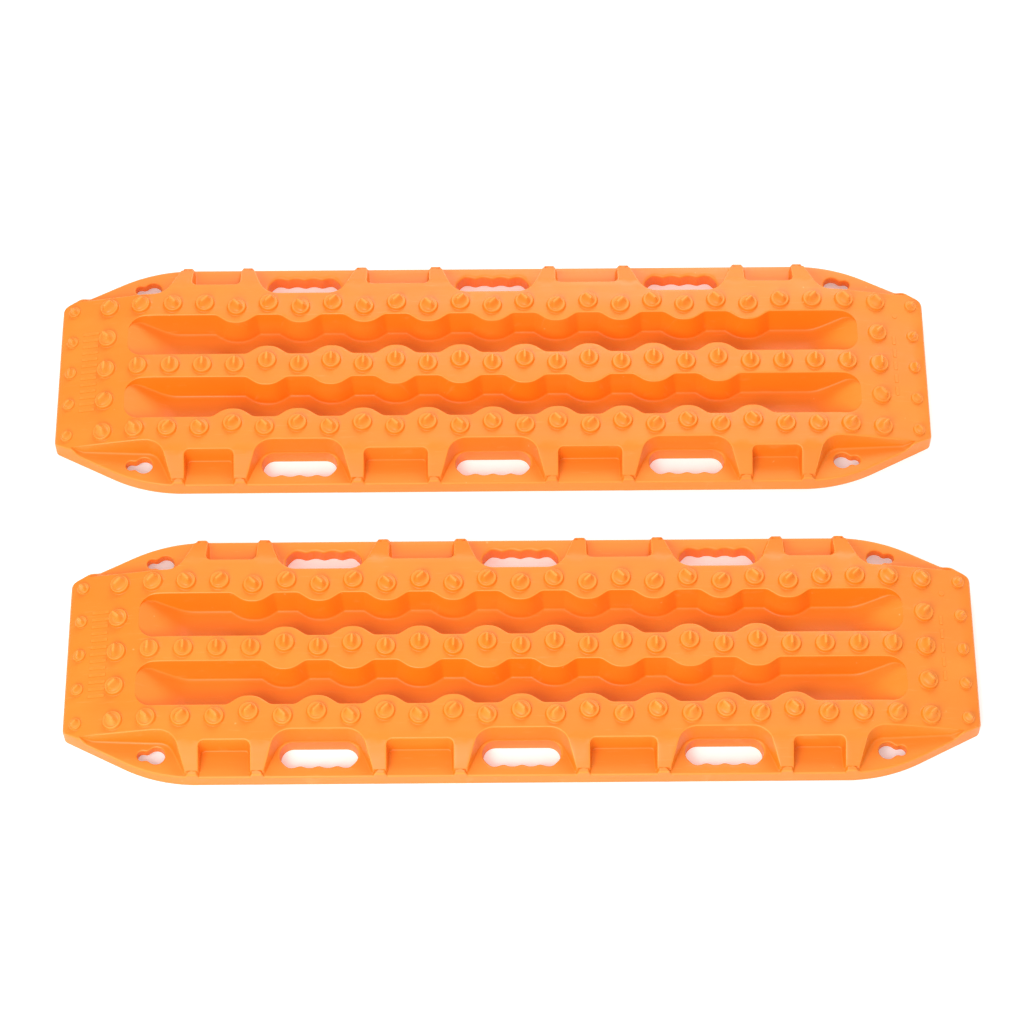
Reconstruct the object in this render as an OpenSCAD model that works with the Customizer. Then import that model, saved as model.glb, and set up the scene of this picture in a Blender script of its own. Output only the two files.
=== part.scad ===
// A pair of traction mats for freeing a vehicle stuck in snow, mud or sand.
// Each mat is one ribbed moulding with gripping studs, lying on the ground.
// Millimetres. X runs along the mats, Y from the front mat to the rear one, Z up.
// Z = 0 is the ground, and the origin is the middle of the pair.

/* [Pair] */
// Clear gap between the two mats
mat_gap = 77; // [20:1:300]
// How far each mat is pushed along its length from the middle of the pair
mat_shift = 15.9; // [0:0.1:80]

/* [Mat] */
// Overall length of a mat
mat_l = 1060; // [1040:1:1280]
// Overall width of a mat
mat_w = 306; // [296:1:370]
// Height of the raised deck above the ground
deck_z = 46; // [40:0.5:56]
// Height of the side flange above the ground
flange_z = 20; // [16:0.5:26]
// Thickness of the moulded skin
wall = 4; // [3:0.1:5]
// Width of the straight edge at each end
end_w = 193; // [170:1:196]
// Angle at which the flange narrows towards each end
taper_a = 27; // [22:0.5:32]
// Radius where the straight side turns into the taper
taper_r = 190; // [40:5:220]
// Radius of the four end corners
end_r = 8; // [2:0.5:16]

/* [Deck] */
// Width of the raised deck between the handle recesses
deck_w = 207; // [200:0.5:212]
// How much further out the deck reaches beside a side pocket
pocket_step = 13; // [10:0.5:16]
// Length of the sloping panel at each end
slope_l = 106; // [98:1:118]
// Slope of the end panels
slope_a = 11.7; // [8:0.1:13]
// Height of a buttress at its outer end
buttress_z = 26; // [24:0.5:32]
// Width of a buttress at its outer end
buttress_w = 13.5; // [12:0.5:16]

/* [Channels] */
// Width of the middle strip between the channels
strip_w = 32.4; // [28:0.2:39]
// Width of the strip outside each channel
side_strip_w = 31.4; // [28:0.2:38]
// Height of a channel floor above the ground
channel_z = 11; // [9:0.5:18]
// Distance from a channel's end to the mat's end
channel_end = 84; // [78:1:90]
// Length of the ramp at each end of a channel
ramp_l = 52; // [48:1:66]
// Radius of a channel's corners
channel_r = 20; // [6:1:24]
// How far a lobe reaches into a channel
lobe_d = 11.2; // [6:0.2:12]
// Least distance from a lobe's middle to the foot of a ramp
lobe_clear = 60; // [45:1:80]

/* [Studs] */
// Distance from one stud to the next along a row
stud_pitch = 39.2; // [32:0.1:48]
// Least distance from the last column of studs to the mat's end
stud_end = 59; // [54:1:66]
// Diameter of a stud at the deck
stud_d = 23.3; // [18:0.1:28]
// Height of a stud's round base
stud_h = 4.5; // [2:0.1:6]
// Height of the nib on a stud
nib_h = 9.5; // [4:0.1:11]
// Length of a nib at its foot
nib_foot_l = 14.5; // [10:0.5:16]
// Width of a nib at its foot
nib_foot_w = 9; // [6:0.5:11]
// Length of a nib's crest
nib_crest_l = 11; // [6:0.5:12]
// Width of a nib's crest
nib_crest_w = 3; // [1:0.5:5]
// How far a slanted nib is turned from straight across
nib_turn = 45; // [0:5:60]
// Diameter of an end stud at the deck
end_stud_d = 15; // [10:0.1:18]
// Distance from the end studs to the mat's end
end_stud_gap = 15.5; // [12:0.5:22]

/* [Handles] */
// Length of a handle slot
handle_l = 90; // [75:1:108]
// Width of a handle slot
handle_w = 31.5; // [26:0.5:33]
// Distance from the deck edge to the handle slot
handle_gap = 5.4; // [4.5:0.1:7]
// Distance from one handle slot to the next
handle_pitch = 233; // [226:1:244]
// Depth of the finger scallops in a handle slot's outer edge
scallop_d = 2; // [0.5:0.1:4]

/* [Keyholes] */
// Radius of a keyhole's large end
key_r = 10.5; // [8:0.1:12]
// Radius of a keyhole's small end
key_slot_r = 6.3; // [4:0.1:7.5]
// Distance between the two ends of a keyhole
key_reach = 15.5; // [13:0.1:20]
// Distance from a keyhole's large end to the mat's end
key_end = 109.5; // [102:0.5:116]
// Distance from the deck edge to a keyhole's middle
key_gap = 21; // [19:0.5:23]
// Depth of the lip around a keyhole
key_lip = 11; // [8:0.5:16]

/* [Hidden] */

half_l = mat_l / 2;
half_w = mat_w / 2;
mat_y = half_w + mat_gap / 2;
mat_colour = "darkorange";
cut = 1;                                  // how far a cut runs past a face
fuse = 0.4;                               // how far one shape reaches into another it joins
arc_step = 18;                            // largest turn of one side of an arc, degrees
arc_len = 16;                             // longest side of an arc

deck_y = deck_w / 2;
pocket_y = deck_y + pocket_step;
slope_x = half_l - slope_l;

// A channel runs between these two lines beside the middle strip.
channel_in = strip_w / 2;
channel_out = deck_y - side_strip_w;
channel_x = half_l - channel_end;
ramp_x = channel_x - ramp_l;
ramp_a = atan((deck_top(channel_x) - channel_z) / ramp_l);
lobe_top = 9;                             // half the length of a lobe's crest
lobe_foot = 25;                           // half the length of a lobe's root
lobe_top_r = 24;                          // radius of a lobe's crest
lobe_foot_r = 11;                         // radius beside a lobe's root

// Studs stand in columns, numbered outwards from 0 in the middle. A stud beside a lobe
// stands half the lobe's reach off its row.
last_column = floor((half_l - stud_end) / stud_pitch);
row_y = deck_y - side_strip_w / 2;
end_stud_x = half_l - end_stud_gap;
stud_jog = lobe_d / 2;
stud_sink = 1;                            // how far a stud reaches into the deck
stud_bevel = 1.4;                         // how much a stud's base narrows towards its top
small_scale = end_stud_d / stud_d;

recess_side = 19.5;                       // from a slot's end to the recess's side at the flange edge
recess_outer = handle_l / 2 + recess_side;
recess_lean = 16;                         // how much narrower a recess is beside the deck
recess_r = 24;                            // radius of a recess's inner corners
pocket_r = 7;                             // radius of a pocket's inner corners
corner_l = 146;                           // from the mat's end to a corner recess's side
corner_x = half_l - corner_l;
handle_y = deck_y + handle_gap + handle_w / 2;
handle_end_r = 15;                        // radius of a slot's corners
scallops = 4;                             // finger scallops in a slot
scallop_margin = 2.6;                     // from a slot's end to its first scallop
scallop_l = (handle_l - 2 * scallop_margin) / scallops;
scallop_r = (pow(scallop_l / 2, 2) + pow(scallop_d, 2)) / (2 * scallop_d);

key_x = half_l - key_end;
key_y = deck_y + key_gap;
key_neck = 0.6;                           // how much narrower a keyhole's neck is than its small end

rib_t = 3;                                // thickness of the ribs under the skin
rib_z = 8;                                // height of the ribs' lower edges above the ground

// Height of the deck's top surface at a distance x from the middle.
function deck_top(x) = deck_z - max(0, abs(x) - slope_x) * tan(slope_a);

// Points of one corner q of an outline, rounded with a radius between points p and s.
function turned(a) = a > 180 ? a - 360 : (a <= -180 ? a + 360 : a);
function unit(v) = v / norm(v);
function heading(v) = atan2(v[1], v[0]);
function round_corner(p, q, s, r) =
    let (u = unit(p - q), w = unit(s - q))
    let (half = acos(u * w) / 2)
    let (c = q + unit(u + w) * r / sin(half))
    let (from = heading(q + u * r / tan(half) - c))
    let (turn = turned(heading(q + w * r / tan(half) - c) - from))
    let (n = ceil(max(abs(turn) / arc_step, abs(turn) * PI / 180 * r / arc_len)))
    [for (k = [0:n]) c + r * [cos(from + turn * k / n), sin(from + turn * k / n)]];

// An outline from corners given as [x, y, radius].
function flat(c) = [c[0], c[1]];
function outline(corners) =
    let (m = len(corners))
    [for (i = [0:m - 1])
        let (c = corners[i], p = corners[(i + m - 1) % m], s = corners[(i + 1) % m])
        each c[2] > 0 ? round_corner(flat(p), flat(c), flat(s), c[2]) : [flat(c)]];

// The four corners of a lobe that reaches from a base line to a crest line.
function lobe(x, base, crest, way) = [
    [x - way * lobe_foot, base, lobe_foot_r],
    [x - way * lobe_top, crest, lobe_top_r],
    [x + way * lobe_top, crest, lobe_top_r],
    [x + way * lobe_foot, base, lobe_foot_r]];

function column_x(i) = i * stud_pitch;
function has_lobe(i) = abs(column_x(i)) <= ramp_x - lobe_clear;
function is_outer_lobe(i) = i % 2 == 0 && has_lobe(i);
function is_middle_lobe(i) = i % 2 != 0 && has_lobe(i);

// The nibs of the rear row lean left and right in turn, mirrored about the mat's middle.
function is_turned_back(i) = i % 2 != 0 || abs(i) == last_column;
function row_turn(i) = (is_turned_back(i) ? -nib_turn : nib_turn) * (i < 0 ? 1 : -1);

// Plan of the whole mat.
module mat_plan() {
    knee_x = half_l - (half_w - end_w / 2) / tan(taper_a);
    polygon(outline([
        [-half_l, -end_w / 2, end_r],
        [-knee_x, -half_w, taper_r],
        [knee_x, -half_w, taper_r],
        [half_l, -end_w / 2, end_r],
        [half_l, end_w / 2, end_r],
        [knee_x, half_w, taper_r],
        [-knee_x, half_w, taper_r],
        [-half_l, end_w / 2, end_r]]));
}

// Plan of the channel on the +Y side, with lobes from the strips on both sides.
module channel_plan() {
    inner_lobes = [for (i = [-last_column:last_column]) if (is_middle_lobe(i))
        each lobe(column_x(i), channel_in, channel_in + lobe_d, 1)];
    outer_lobes = [for (i = [last_column:-1:-last_column]) if (is_outer_lobe(i))
        each lobe(column_x(i), channel_out, channel_out - lobe_d, -1)];
    polygon(outline(concat(
        [[-channel_x, channel_in, channel_r]],
        inner_lobes,
        [[channel_x, channel_in, channel_r], [channel_x, channel_out, channel_r]],
        outer_lobes,
        [[-channel_x, channel_out, channel_r]])));
}

// Plan of a recess beside the deck on the +Y side, open towards the flange edge.
module handle_recess_plan() {
    outer = half_w + cut;
    polygon(outline([
        [-recess_outer, outer, 0],
        [-recess_outer + recess_lean, deck_y, recess_r],
        [recess_outer - recess_lean, deck_y, recess_r],
        [recess_outer, outer, 0]]));
}

module pocket_plan(x_in, x_out) {
    outer = half_w + cut;
    polygon(outline([
        [x_in, outer, 0],
        [x_in, pocket_y, pocket_r],
        [x_out, pocket_y, pocket_r],
        [x_out, outer, 0]]));
}

module corner_recess_plan() {
    outer = half_w + cut;
    polygon(outline([
        [corner_x, outer, 0],
        [corner_x + recess_lean, deck_y, recess_r],
        [half_l + cut, deck_y, 0],
        [half_l + cut, outer, 0]]));
}

// Everything on one side of the mat where the flange lies open.
module side_recesses_plan() {
    for (k = [-1:1]) {
        translate([k * handle_pitch, 0]) handle_recess_plan();
    }
    for (side = [0, 1]) {
        mirror([side, 0]) {
            pocket_plan(recess_outer + buttress_w, handle_pitch - recess_outer - buttress_w);
            pocket_plan(handle_pitch + recess_outer + buttress_w, corner_x - buttress_w);
            corner_recess_plan();
        }
    }
}

// Plan of the raised deck with its buttresses.
module raised_plan() {
    difference() {
        mat_plan();
        side_recesses_plan();
        mirror([0, 1]) side_recesses_plan();
    }
}

// Side view of the raised deck: level, then sloping down to both ends.
module long_profile(drop) {
    top = deck_z - drop;
    end_top = deck_top(half_l) - drop;
    rotate([90, 0, 0]) linear_extrude(mat_w + 2 * cut, center = true)
        polygon([[-half_l, -cut], [half_l, -cut], [half_l, end_top], [slope_x, top],
            [-slope_x, top], [-half_l, end_top]]);
}

// End view of the raised deck: level, with the buttresses sloping down to the flange edge.
module cross_profile(drop) {
    top = deck_z - drop;
    edge_top = buttress_z - drop;
    rotate([90, 0, 90]) linear_extrude(mat_l + 2 * cut, center = true)
        polygon([[-half_w, -cut], [half_w, -cut], [half_w, edge_top], [pocket_y, top],
            [-pocket_y, top], [-half_w, edge_top]]);
}

// The space in one channel, with its floor ramping up at both ends.
module channel_space(grow) {
    lift = deck_z + 2 * cut;
    ramp_end = ramp_x + (lift - channel_z) / tan(ramp_a);
    intersection() {
        linear_extrude(lift) offset(delta = grow) channel_plan();
        translate([0, mat_w / 2, -grow]) rotate([90, 0, 0]) linear_extrude(mat_w)
            polygon([[-ramp_end, lift], [-ramp_x, channel_z], [ramp_x, channel_z], [ramp_end, lift],
                [ramp_end, 2 * lift], [-ramp_end, 2 * lift]]);
    }
}

// Plan of a handle slot: straight towards the deck, with finger scallops outside.
module handle_plan() {
    inner = -handle_w / 2;
    outer = handle_w / 2 - scallop_d;
    polygon(outline([
        [-handle_l / 2, inner, handle_end_r],
        [handle_l / 2, inner, handle_end_r],
        [handle_l / 2, outer, handle_end_r - scallop_d],
        [-handle_l / 2, outer, handle_end_r - scallop_d]]));
    for (k = [0:scallops - 1]) {
        translate([(k - (scallops - 1) / 2) * scallop_l, handle_w / 2 - scallop_r]) intersection() {
            circle(r = scallop_r, $fn = 96);
            translate([-scallop_l / 2, scallop_r - scallop_d - cut]) square([scallop_l, 2 * cut + scallop_d]);
        }
    }
}

module handle_holes(grow) {
    for (side = [0, 1], k = [-1:1]) {
        mirror([0, side, 0]) translate([k * handle_pitch, handle_y, -2 * cut])
            linear_extrude(flange_z + 4 * cut) offset(delta = grow) handle_plan();
    }
}

// Keyhole with its large end at the origin and its small end towards +X.
module keyhole(low, high, grow) {
    translate([0, 0, low]) {
        cylinder(r = key_r + grow, h = high - low, $fn = 64);
        translate([key_reach, 0, 0]) cylinder(r = key_slot_r + grow, h = high - low, $fn = 64);
        neck = key_slot_r + grow - key_neck;
        translate([0, -neck, 0]) cube([key_reach, 2 * neck, high - low]);
    }
}

module keyholes(low, high, grow) {
    for (mx = [0, 1], my = [0, 1]) {
        mirror([mx, 0, 0]) mirror([0, my, 0]) translate([key_x, key_y, 0]) keyhole(low, high, grow);
    }
}

// The mat's outer form without its openings, moved inwards by a skin thickness.
module form(skin) {
    low = skin > 0 ? -cut : 0;
    difference() {
        union() {
            translate([0, 0, low]) linear_extrude(flange_z - skin - low) offset(delta = -skin) mat_plan();
            intersection() {
                translate([0, 0, low]) linear_extrude(deck_z - low) offset(delta = -skin) raised_plan();
                long_profile(skin);
                cross_profile(skin);
            }
        }
        for (side = [0, 1]) {
            mirror([0, side, 0]) channel_space(skin);
        }
        handle_holes(skin);
    }
}

// Ribs across the underside. They stop short of the ground, but under the channels
// they reach it and bite as cleats.
module ribs() {
    intersection() {
        form(wall - fuse);
        for (i = [-last_column:2:last_column]) {
            translate([column_x(i) - rib_t / 2, -half_w, rib_z]) cube([rib_t, mat_w, deck_z]);
            for (side = [0, 1]) {
                mirror([0, side, 0]) translate([column_x(i) - rib_t / 2, channel_in - wall, 0])
                    cube([rib_t, channel_out - channel_in + 2 * wall, rib_z + cut]);
            }
        }
    }
}

// One stud: a round base with a bevelled edge and a chisel-shaped nib.
module stud(turn) {
    translate([0, 0, -stud_sink]) cylinder(d = stud_d, h = stud_sink + stud_h / 2, $fn = 48);
    translate([0, 0, stud_h / 2])
        cylinder(d1 = stud_d, d2 = stud_d - 2 * stud_bevel, h = stud_h / 2, $fn = 48);
    rotate([0, 0, turn]) translate([0, 0, stud_h - fuse]) intersection() {
        rotate([90, 0, 0]) nib_view(nib_foot_w, nib_crest_w, nib_foot_l);
        rotate([90, 0, 90]) nib_view(nib_foot_l, nib_crest_l, nib_foot_w);
    }
}

// A nib seen from one side, as deep as it is seen from the other.
module nib_view(foot, crest, depth) {
    top = nib_h + fuse;
    linear_extrude(depth, center = true)
        polygon([[-foot / 2, 0], [foot / 2, 0], [crest / 2, top], [-crest / 2, top]]);
}

// A stud standing square on the deck or on a sloping end panel.
module stud_at(x, y, turn, size) {
    lean = abs(x) > slope_x ? sign(x) * slope_a : 0;
    translate([x, y, deck_top(x)]) rotate([0, lean, 0]) scale(size) stud(turn);
}

module studs() {
    for (i = [-last_column:last_column]) {
        x = column_x(i);
        jog_mid = is_middle_lobe(i) ? stud_jog : 0;
        jog_out = is_outer_lobe(i) ? stud_jog : 0;
        stud_at(x, jog_mid, 0, 1);
        stud_at(x, row_y - jog_out, row_turn(i), 1);
        stud_at(x, jog_out - row_y, -row_turn(i), 1);
    }
    for (side = [-1, 1]) {
        for (k = [-1, 1]) {
            stud_at(side * column_x(last_column), k * row_y / 2, -side * k * nib_turn, 1);
        }
        for (k = [-2:2]) {
            stud_at(side * end_stud_x, k * row_y / 2, -side * sign(k) * nib_turn, small_scale);
        }
    }
}

// One mat: a skin open at the bottom, stiffened by ribs and carrying the studs.
module mat() {
    difference() {
        union() {
            difference() {
                form(0);
                form(wall);
            }
            ribs();
            intersection() {
                keyholes(flange_z - key_lip, flange_z - fuse, wall);
                form(wall - fuse);
            }
            studs();
        }
        keyholes(-cut, flange_z + cut, 0);
    }
}

module mat_front() {
    color(mat_colour) translate([mat_shift, -mat_y, 0]) mat();
}

module mat_rear() {
    color(mat_colour) translate([-mat_shift, mat_y, 0]) mat();
}

mat_front();
mat_rear();
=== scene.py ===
"""A pair of orange traction mats: two one-piece mouldings with channels, grip studs and hand slots.

Sizes are in millimetres in a mat's own frame: X along the mat, Y across it, Z up from the
ground, with the origin under the mat's middle. Meshes are made in metres.
"""

import logging
import math
from dataclasses import dataclass, field, replace
from enum import Enum
from typing import Callable, Sequence

import bmesh
import bpy
import numpy as np
from mathutils import Matrix, Vector
from mathutils.geometry import delaunay_2d_cdt

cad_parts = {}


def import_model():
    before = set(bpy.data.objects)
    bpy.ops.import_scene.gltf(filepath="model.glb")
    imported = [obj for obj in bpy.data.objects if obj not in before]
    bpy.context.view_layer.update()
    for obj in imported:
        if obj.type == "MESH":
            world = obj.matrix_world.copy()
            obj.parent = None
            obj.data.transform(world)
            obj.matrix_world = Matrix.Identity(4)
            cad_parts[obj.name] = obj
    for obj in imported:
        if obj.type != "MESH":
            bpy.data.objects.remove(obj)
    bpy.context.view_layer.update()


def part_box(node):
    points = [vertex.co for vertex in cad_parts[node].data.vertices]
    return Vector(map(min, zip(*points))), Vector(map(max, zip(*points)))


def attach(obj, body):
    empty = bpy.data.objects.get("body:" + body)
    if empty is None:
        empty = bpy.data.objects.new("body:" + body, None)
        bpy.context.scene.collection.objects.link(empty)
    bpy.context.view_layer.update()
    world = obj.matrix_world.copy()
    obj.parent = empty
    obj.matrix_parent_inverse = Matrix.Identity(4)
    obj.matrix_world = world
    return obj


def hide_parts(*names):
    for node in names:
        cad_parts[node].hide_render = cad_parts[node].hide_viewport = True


LOG = logging.getLogger("traction_mats")
MM = 0.001
# Least height of a flat triangle over its longest side: ring points in one straight line enclose nothing.
SLIVER = 1e-6
# Least radius of a moved corner, in millimetres: more than its wall's edge takes up.
LEAST_RADIUS = 1.3
# Least height of a wall, in millimetres, so that its two edges never meet.
LEAST_WALL = 0.06
# Least distance in millimetres from an added point of a plan to a ring.
CLOSE = 0.4
# Angle in degrees between two faces past which the edge between them is shaded sharp.
SHARP = 50.0
# Longest step round a corner, as a turn in degrees and as a length in millimetres.
ARC_TURN = 9.0
ARC_LENGTH = 3.0
# How much more a large face counts than a small one where their normals are averaged.
NORMAL_WEIGHT = 60
# Points that are compared with all edges at once.
BATCH = 1000
NO_SPOTS = np.zeros((0, 2))

Height = Callable[[np.ndarray], np.ndarray]


class Fall(Enum):
    """Side of an outline on which its wall goes down."""

    OUTWARDS = 1.0
    INWARDS = -1.0


@dataclass(frozen=True)
class Corner:
    """One corner of an outline before it is rounded, and the wall that hangs from it.

    The wall leans from upright by lean degrees, and top and foot are the radii of its two edges.
    """

    x: float
    y: float
    radius: float
    lean: float = 11.5
    top: float = 1.8
    foot: float = 3.0

    def turned(self, sx: float, sy: float) -> "Corner":
        """Return the corner mirrored by the signs sx and sy."""
        return replace(self, x=self.x * sx, y=self.y * sy)


def soft_ramp(run: np.ndarray, bend: float) -> np.ndarray:
    """Give 0 before 0 and the run itself after 0, joined by a parabola.

    Args:
        run: Signed distance past the start of the ramp.
        bend: Half the length over which the parabola turns into the straight ramp.

    Returns:
        (run + bend)^2 / (4 bend) inside the bend, and max(run, 0) outside it.
    """
    curve = (run + bend) ** 2 / (4 * bend)
    return np.where(np.abs(run) < bend, curve, np.maximum(run, 0.0))


def smooth_step(value: np.ndarray, start: float, end: float) -> np.ndarray:
    """Go from 0 at start to 1 at end along 3t^2 - 2t^3."""
    t = np.clip((value - start) / (end - start), 0.0, 1.0)
    return t * t * (3 - 2 * t)


@dataclass
class Outline:
    """A closed counter-clockwise line in plan, with its outward normals and its wall's sizes."""

    xy: np.ndarray
    normal: np.ndarray
    lean: np.ndarray
    top: np.ndarray
    foot: np.ndarray

    @classmethod
    def rounded(cls, corners: Sequence[Corner], reach: float = 8.0) -> "Outline":
        """Round every corner with an arc and join the arcs with straight stretches.

        An arc's points are its centre plus the first edge's normal, turned step by step, times the
        radius. On a corner that turns the other way the normal counts negative.

        Args:
            corners: Corners in counter-clockwise order.
            reach: Longest side of a straight stretch.

        Returns:
            The outline.
        """
        place = np.array([[c.x, c.y] for c in corners])
        side = np.roll(place, -1, axis=0) - place
        along = side / np.linalg.norm(side, axis=1)[:, None]
        out = np.stack([along[:, 1], -along[:, 0]], axis=1)
        arcs = []
        for i, corner in enumerate(corners):
            before, after = along[i - 1], along[i]
            turn = math.atan2(before[0] * after[1] - before[1] * after[0], float(before @ after))
            way = math.copysign(1.0, turn)
            start = place[i] - before * corner.radius * abs(math.tan(turn / 2))
            steps = math.ceil(max(abs(turn) / math.radians(ARC_TURN), abs(turn) * corner.radius / ARC_LENGTH))
            angle = np.linspace(0.0, turn, max(steps, 2) + 1)
            cos, sin = np.cos(angle), np.sin(angle)
            n0 = out[i - 1]
            normal = np.stack([n0[0] * cos - n0[1] * sin, n0[0] * sin + n0[1] * cos], axis=1)
            centre = start - way * n0 * corner.radius
            sizes = np.tile([corner.lean, corner.top, corner.foot], (len(angle), 1))
            arcs.append(np.hstack([centre + way * normal * corner.radius, normal, sizes]))
        rows = []
        for arc, following in zip(arcs, arcs[1:] + arcs[:1]):
            gap = float(np.linalg.norm(following[0, :2] - arc[-1, :2]))
            share = np.linspace(0.0, 1.0, math.ceil(gap / reach) + 1)[1:-1, None]
            rows.append(arc)
            rows.append(arc[-1] * (1 - share) + following[0] * share)
        table = np.vstack(rows)
        return cls(table[:, :2], table[:, 2:4], table[:, 4], table[:, 5], table[:, 6])

    @classmethod
    def measured(cls, xy: np.ndarray, lean: float, top: np.ndarray, foot: float) -> "Outline":
        """Take any closed line of points; a normal is the chord between neighbours, turned right.

        Args:
            xy: Points in counter-clockwise order.
            lean: The wall's lean.
            top: Radius of the wall's top edge at each point.
            foot: Radius of the wall's foot.

        Returns:
            The outline.
        """
        chord = np.roll(xy, -1, axis=0) - np.roll(xy, 1, axis=0)
        normal = np.stack([chord[:, 1], -chord[:, 0]], axis=1)
        normal /= np.linalg.norm(normal, axis=1)[:, None]
        flat = np.ones(len(xy))
        return cls(xy, normal, flat * lean, flat * top, flat * foot)

    def mirrored(self, sx: float, sy: float) -> "Outline":
        """Return the outline mirrored, still counter-clockwise.

        Args:
            sx: Sign for X.
            sy: Sign for Y.

        Returns:
            The mirrored outline.
        """
        signs = np.array([sx, sy])
        order = slice(None, None, -1) if sx * sy < 0 else slice(None)
        return Outline((self.xy * signs)[order], (self.normal * signs)[order],
                       self.lean[order], self.top[order], self.foot[order])

    def moved(self, dx: float, dy: float) -> "Outline":
        """Return the outline moved by dx and dy."""
        return replace(self, xy=self.xy + np.array([dx, dy]))


def shifted(corners: Sequence[Corner], distance: float) -> list[Corner]:
    """Move every side of an outline outwards by one distance.

    A corner moves along the sum of its two sides' normals, divided by 1 plus their product. Its
    radius grows with the distance where the outline turns left and shrinks where it turns right.

    Args:
        corners: Corners in counter-clockwise order.
        distance: How far the sides move, negative inwards.

    Returns:
        The moved corners.
    """
    place = np.array([[c.x, c.y] for c in corners])
    side = np.roll(place, -1, axis=0) - place
    along = side / np.linalg.norm(side, axis=1)[:, None]
    out = np.stack([along[:, 1], -along[:, 0]], axis=1)
    before, n0 = np.roll(along, 1, axis=0), np.roll(out, 1, axis=0)
    move = (n0 + out) * distance / (1 + np.sum(n0 * out, axis=1))[:, None]
    left = np.sign(before[:, 0] * along[:, 1] - before[:, 1] * along[:, 0])
    return [replace(c, x=c.x + m[0], y=c.y + m[1], radius=max(c.radius + s * distance, LEAST_RADIUS))
            for c, m, s in zip(corners, move.tolist(), left.tolist())]


@dataclass
class Skin:
    """Vertices and faces of one moulding while it is put together, in millimetres."""

    points: list[np.ndarray] = field(default_factory=list)
    wear_and_highlight: list[np.ndarray] = field(default_factory=list)
    quads: list[np.ndarray] = field(default_factory=list)
    triangles: list[np.ndarray] = field(default_factory=list)
    count: int = 0

    def add(self, points: np.ndarray, wear_and_highlight: float | np.ndarray = 0.0) -> np.ndarray:
        """Add points and return their numbers.

        Args:
            points: Places, one row each.
            wear_and_highlight: How much of an edge each place is, from 0 to 1; it lightens the place as edge
                wear and painted highlight.

        Returns:
            The numbers that faces refer to.
        """
        self.points.append(points)
        self.wear_and_highlight.append(np.broadcast_to(np.asarray(wear_and_highlight, float), (len(points),)).copy())
        numbers = np.arange(self.count, self.count + len(points))
        self.count += len(points)
        return numbers

    def loft(self, first: np.ndarray, second: np.ndarray, closed: bool = True) -> None:
        """Join two rings of as many points with a band of quads.

        Args:
            first: Numbers of the first ring's points.
            second: Numbers of the second ring's points.
            closed: Whether the last points join the first ones.
        """
        if closed:
            ahead_first, ahead_second = np.roll(first, -1), np.roll(second, -1)
        else:
            ahead_first, ahead_second = first[1:], second[1:]
            first, second = first[:-1], second[:-1]
        self.quads.append(np.stack([first, ahead_first, ahead_second, second], axis=1))

    def cap(self, ring: np.ndarray, centre: np.ndarray, wear_and_highlight: float = 0.0) -> None:
        """Close a ring with a fan of triangles around one point.

        Args:
            ring: Numbers of the ring's points.
            centre: Place of the point.
            wear_and_highlight: The point's edge wear and painted highlight.
        """
        middle = self.add(centre[None, :], wear_and_highlight)
        self.triangles.append(np.stack([ring, np.roll(ring, -1), np.repeat(middle, len(ring))], axis=1))

    def fill(self, rings: Sequence[np.ndarray], height: Height, grid: float, clear: float = 2.0,
             extra: np.ndarray = NO_SPOTS) -> None:
        """Fill the flat region between rings with triangles, and lay them on a height.

        A point of the plan is inside the region where a line from it crosses the rings an odd
        number of times. Grid points nearer to a ring than the clearance are left out.

        Args:
            rings: Numbers of each ring's points; rings inside another are holes.
            height: Height of the region over points of the plan.
            grid: Distance between the points inside the region.
            clear: Least distance from such a point to a ring.
            extra: More points of the plan where the height changes quickly.
        """
        every = np.vstack(self.points)
        numbers = np.concatenate(rings)
        plan = every[numbers, :2]
        sizes = [len(r) for r in rings]
        starts = np.cumsum([0] + sizes[:-1])
        ends = np.concatenate([s + (np.arange(n) + 1) % n for s, n in zip(starts, sizes)])
        edges = np.stack([np.arange(len(plan)), ends], axis=1)
        inner = np.vstack([self._inside(self._grid(plan, grid), plan, edges, clear),
                           self._inside(extra, plan, edges, CLOSE)])
        spots = np.vstack([plan, inner])
        made = delaunay_2d_cdt([Vector(p) for p in spots.tolist()], edges.tolist(), [], 0, 1e-6, True)
        source = np.array([o[0] if o else -1 for o in made[3]])
        if source.min() < 0 or len(source) < len(spots):
            LOG.warning("two rings touch or cross")
        faces = source[np.array([f for f in made[2] if len(f) == 3])]
        first, second, third = np.moveaxis(spots[faces], 1, 0)
        u, v = second - first, third - first
        longest = np.maximum(np.sum(u * u, axis=1), np.sum(v * v, axis=1))
        faces = faces[np.abs(u[:, 0] * v[:, 1] - u[:, 1] * v[:, 0]) > SLIVER * longest]
        faces = faces[crossings(spots[faces].mean(axis=1), plan, edges) % 2 == 1]
        laid = np.column_stack([inner, height(inner)]) if len(inner) else np.zeros((0, 3))
        numbers = np.concatenate([numbers, self.add(laid)])
        self.triangles.append(numbers[faces])

    @staticmethod
    def _grid(plan: np.ndarray, step: float) -> np.ndarray:
        """Give grid points over the whole box of a plan.

        Args:
            plan: Points whose box is covered.
            step: Distance between grid points.

        Returns:
            The grid points, one row each.
        """
        low, high = plan.min(axis=0), plan.max(axis=0)
        xs = np.arange(low[0] + step / 2, high[0], step)
        ys = np.arange(low[1] + step / 2, high[1], step)
        return np.stack(np.meshgrid(xs, ys), axis=-1).reshape(-1, 2)

    @staticmethod
    def _inside(spots: np.ndarray, plan: np.ndarray, edges: np.ndarray, clear: float) -> np.ndarray:
        """Keep the spots that are inside the rings and stand clear of them.

        Args:
            spots: Points of the plan.
            plan: The rings' points.
            edges: The rings' edges, as pairs of rows of the plan.
            clear: Least distance from a spot to a ring.

        Returns:
            The spots that are kept.
        """
        if not len(spots):
            return spots
        spots = spots[crossings(spots, plan, edges) % 2 == 1]
        return spots[ring_distance(spots, plan, edges) > clear]

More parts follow.
